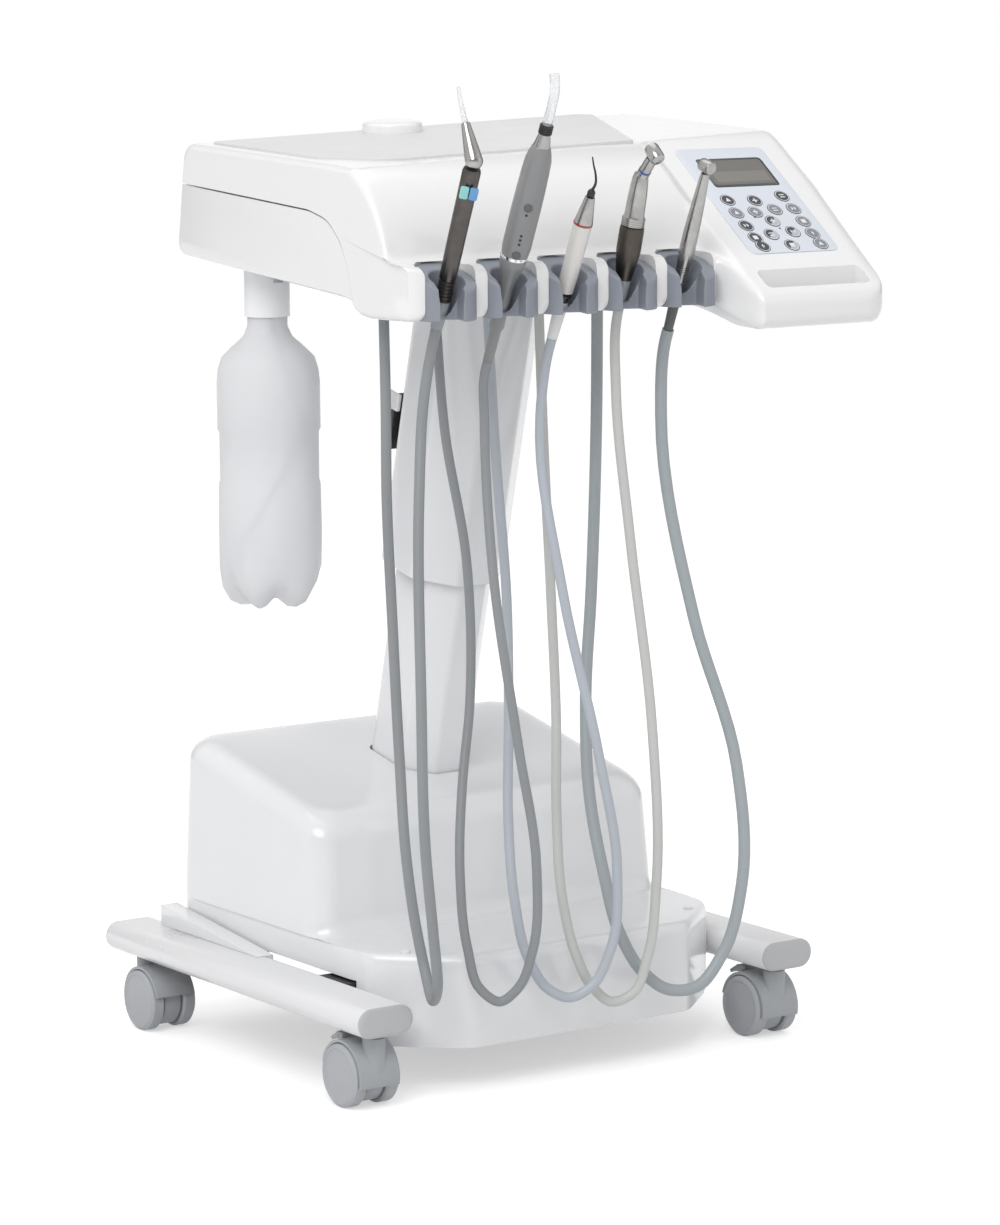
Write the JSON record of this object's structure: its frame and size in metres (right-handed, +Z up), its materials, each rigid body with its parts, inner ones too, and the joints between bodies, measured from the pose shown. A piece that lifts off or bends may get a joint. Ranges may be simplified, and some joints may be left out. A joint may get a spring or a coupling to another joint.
{
  "type": "portable dental unit",
  "caption": "Mobile dental cart: head with hose-fed instruments in holders, keypad console and water bottle, on a leaning lift column and a covered base with twin-wheel casters.",
  "frame": {"origin": "on the floor, under the middle of the whole unit without its hoses", "axes": "+Z up, -Y towards the user at the instruments, +X towards the keypad console"},
  "size_m": [0.49, 0.4607, 0.794],
  "materials": {
    "cover_white": "gloss white moulded cover",
    "head_white": "gloss white moulded shell",
    "rail_white": "white powder coat on steel tube",
    "trim_grey": "light grey moulded plastic",
    "caster_grey": "light grey nylon",
    "wheel_grey": "grey polyurethane tread",
    "steel": "bright steel",
    "chrome": "chrome plate",
    "frame_dark": "dark grey powder coat",
    "black_plastic": "black moulded plastic",
    "tray_grey": "light grey satin plastic",
    "keypad_film": "pale grey printed film",
    "display_glass": "grey display behind a dark bezel",
    "board_green": "green circuit board",
    "alu": "bare aluminium",
    "holder_grey": "blue grey moulded plastic",
    "bottle_frost": "frosted white polyethylene",
    "dip_blue": "blue grey tubing",
    "gunmetal": "dark satin steel",
    "button_turquoise": "turquoise button",
    "button_blue": "blue button",
    "body_grey": "mid grey satin plastic",
    "light_clear": "clear light guide",
    "scaler_white": "white handpiece plastic",
    "motor_brown": "dark brown grey anodised",
    "hose_grey": "grey silicone tubing",
    "hose_pale": "pale grey silicone tubing"
  },
  "bodies": {
    "base": {"chassis_frame": "frame_dark", "side_rails": "rail_white", "rail_end_caps": "trim_grey", "base_cover": "cover_white", "rail_saddles": "cover_white", "cover_screws": "trim_grey", "power_supply": "alu", "air_regulator": "alu", "rear_inlet_panel": "trim_grey", "caster_stems": "chrome", "mast_tube": "steel", "glide_bushes": "trim_grey", "lower_sleeve": "cover_white", "gas_spring_cylinder": "black_plastic"},
    "lift": {"gas_spring_rod": "chrome", "sliding_tube": "chrome", "upper_sleeve": "cover_white", "head_lower_shell": "head_white", "head_top_shell": "head_white", "tray_panel": "tray_grey", "post_socket_cap": "head_white", "console_housing": "head_white", "keypad_overlay": "keypad_film", "display_module": "display_glass", "control_board": "board_green", "valve_block": "alu", "instrument_holders": "holder_grey", "hose_outlets": "trim_grey", "bottle_cap": "head_white", "dip_tube": "dip_blue", "hose_syringe": "hose_grey", "hose_curing_light": "hose_grey", "hose_scaler": "hose_pale", "hose_air_motor": "hose_pale", "hose_turbine": "hose_grey"},
    "lever": {"release_lever": "black_plastic"},
    "bottle": {"water_bottle": "bottle_frost"},
    "syringe": {"syringe_body": "gunmetal"},
    "nozzle": {"syringe_nozzle": "steel"},
    "air_button": {"syringe_air_button": "button_turquoise"},
    "water_button": {"syringe_water_button": "button_blue"},
    "curing_light": {"curing_light_body": "body_grey"},
    "guide": {"light_guide": "light_clear"},
    "on_button": {"light_button": "body_grey"},
    "mode_button": {"light_mode_button": "body_grey"},
    "scaler": {"scaler_body": "scaler_white", "scaler_tip": "gunmetal"},
    "motor": {"air_motor": "motor_brown"},
    "contra_angle": {"contra_angle": "steel"},
    "turbine": {"turbine_handpiece": "steel"},
    "caster_fl": {"caster_hood_fl": "caster_grey"},
    "wheels_fl": {"caster_wheels_fl": "wheel_grey"},
    "caster_fr": {"caster_hood_fr": "caster_grey"},
    "wheels_fr": {"caster_wheels_fr": "wheel_grey"},
    "caster_rl": {"caster_hood_rl": "caster_grey"},
    "wheels_rl": {"caster_wheels_rl": "wheel_grey"},
    "caster_rr": {"caster_hood_rr": "caster_grey"},
    "wheels_rr": {"caster_wheels_rr": "wheel_grey"},
    "brake_fl": {"brake_lever_fl": "caster_grey"},
    "brake_fr": {"brake_lever_fr": "caster_grey"}
  },
  "joints": [
    {"name": "column_lift", "type": "slide", "parent": "base", "child": "lift", "axis": [0, -0.2504, 0.9681], "range_m": [-0.03, 0.15]},
    {"name": "release_lever", "type": "hinge", "parent": "lift", "child": "lever", "pos_m": [-0.025, 0.0519, 0.52538], "axis": [-1, 0, 0], "range_deg": [0, 8], "stiffness_Nm_per_rad": 1, "springref_deg": -14.32},
    {"name": "bottle_turn", "type": "hinge", "parent": "lift", "child": "bottle", "pos_m": [-0.147, 0.11535, 0.595], "axis": [0, 0, 1], "range_deg": [0, 360]},
    {"name": "syringe_lift", "type": "slide", "parent": "lift", "child": "syringe", "axis": [0, -0.3827, 0.9239], "range_m": [0, 0.06]},
    {"name": "curing_light_lift", "type": "slide", "parent": "lift", "child": "curing_light", "axis": [0, -0.4067, 0.9135], "range_m": [0, 0.06]},
    {"name": "scaler_lift", "type": "slide", "parent": "lift", "child": "scaler", "axis": [0, -0.4226, 0.9063], "range_m": [0, 0.06]},
    {"name": "motor_lift", "type": "slide", "parent": "lift", "child": "motor", "axis": [0, -0.2756, 0.9613], "range_m": [0, 0.06]},
    {"name": "turbine_lift", "type": "slide", "parent": "lift", "child": "turbine", "axis": [0, -0.3665, 0.9304], "range_m": [0, 0.06]},
    {"name": "nozzle_turn", "type": "hinge", "parent": "syringe", "child": "nozzle", "pos_m": [-0.1575, -0.19992, 0.72439], "axis": [0, -0.3827, 0.9239], "range_deg": [-180, 180]},
    {"name": "air_button_press", "type": "slide", "parent": "syringe", "child": "air_button", "axis": [0.4695, 0.8157, 0.3379], "range_m": [0, 0.0015], "stiffness_N_per_m": 400, "springref_m": -0.002},
    {"name": "water_button_press", "type": "slide", "parent": "syringe", "child": "water_button", "axis": [0.4695, 0.8157, 0.3379], "range_m": [0, 0.0015], "stiffness_N_per_m": 400, "springref_m": -0.002},
    {"name": "guide_turn", "type": "hinge", "parent": "curing_light", "child": "guide", "pos_m": [-0.101, -0.21371, 0.74893], "axis": [0, -0.4067, 0.9135], "range_deg": [-180, 180]},
    {"name": "on_button_press", "type": "slide", "parent": "curing_light", "child": "on_button", "axis": [0.5, 0.7912, 0.3522], "range_m": [0, 0.0006], "stiffness_N_per_m": 800, "springref_m": -0.001},
    {"name": "mode_button_press", "type": "slide", "parent": "curing_light", "child": "mode_button", "axis": [0.5, 0.7912, 0.3522], "range_m": [0, 0.0006], "stiffness_N_per_m": 800, "springref_m": -0.001},
    {"name": "contra_angle_turn", "type": "hinge", "parent": "motor", "child": "contra_angle", "pos_m": [0.012, -0.16923, 0.67237], "axis": [0, -0.2756, 0.9613], "range_deg": [-180, 180]},
    {"name": "caster_fl_swivel", "type": "hinge", "parent": "base", "child": "caster_fl", "pos_m": [-0.22, -0.14565, 0.05], "axis": [0, 0, 1], "continuous": true},
    {"name": "wheels_fl_spin", "type": "hinge", "parent": "caster_fl", "child": "wheels_fl", "pos_m": [-0.22, -0.12665, 0.025], "axis": [1, 0, 0], "continuous": true},
    {"name": "brake_fl", "type": "hinge", "parent": "caster_fl", "child": "brake_fl", "pos_m": [-0.22, -0.11315, 0.053], "axis": [-1, 0, 0], "range_deg": [0, 12]},
    {"name": "caster_fr_swivel", "type": "hinge", "parent": "base", "child": "caster_fr", "pos_m": [0.17, -0.14565, 0.05], "axis": [0, 0, 1], "continuous": true},
    {"name": "wheels_fr_spin", "type": "hinge", "parent": "caster_fr", "child": "wheels_fr", "pos_m": [0.17, -0.12665, 0.025], "axis": [1, 0, 0], "continuous": true},
    {"name": "brake_fr", "type": "hinge", "parent": "caster_fr", "child": "brake_fr", "pos_m": [0.17, -0.11315, 0.053], "axis": [-1, 0, 0], "range_deg": [0, 12]},
    {"name": "caster_rl_swivel", "type": "hinge", "parent": "base", "child": "caster_rl", "pos_m": [-0.22, 0.20335, 0.05], "axis": [0, 0, 1], "continuous": true},
    {"name": "wheels_rl_spin", "type": "hinge", "parent": "caster_rl", "child": "wheels_rl", "pos_m": [-0.22, 0.18435, 0.025], "axis": [1, 0, 0], "continuous": true},
    {"name": "caster_rr_swivel", "type": "hinge", "parent": "base", "child": "caster_rr", "pos_m": [0.17, 0.20335, 0.05], "axis": [0, 0, 1], "continuous": true},
    {"name": "wheels_rr_spin", "type": "hinge", "parent": "caster_rr", "child": "wheels_rr", "pos_m": [0.17, 0.18435, 0.025], "axis": [1, 0, 0], "continuous": true}
  ]
}
